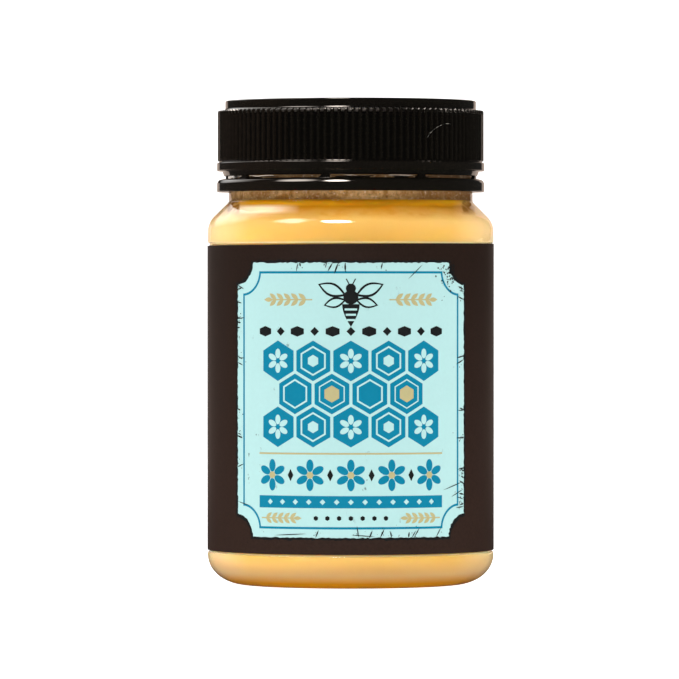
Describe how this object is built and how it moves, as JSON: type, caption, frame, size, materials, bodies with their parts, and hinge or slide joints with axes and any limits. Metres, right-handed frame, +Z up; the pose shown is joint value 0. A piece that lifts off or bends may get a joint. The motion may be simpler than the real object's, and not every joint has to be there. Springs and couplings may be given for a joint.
{
  "type": "honey jar",
  "caption": "Clear wide-mouth jar of pale set honey, shut by a black ribbed tamper-evident screw cap and wrapped in a dark label with an aqua panel.",
  "frame": {"origin": "centre of the base, on the surface that the jar stands on", "axes": "+Z up through the cap, -Y out of the front of the label, +X to the right as seen from the front"},
  "size_m": [0.072, 0.072, 0.1213],
  "materials": {
    "clear_plastic": "clear, polished",
    "set_honey": "pale golden set honey, smooth and barely translucent",
    "label_print": "satin printed film, dark brown with an aqua panel",
    "cap_plastic": "glossy moulded black"
  },
  "bodies": {
    "root": {"jar": "clear_plastic", "honey": "set_honey", "label": "label_print", "cap": "cap_plastic"}
  },
  "joints": []
}
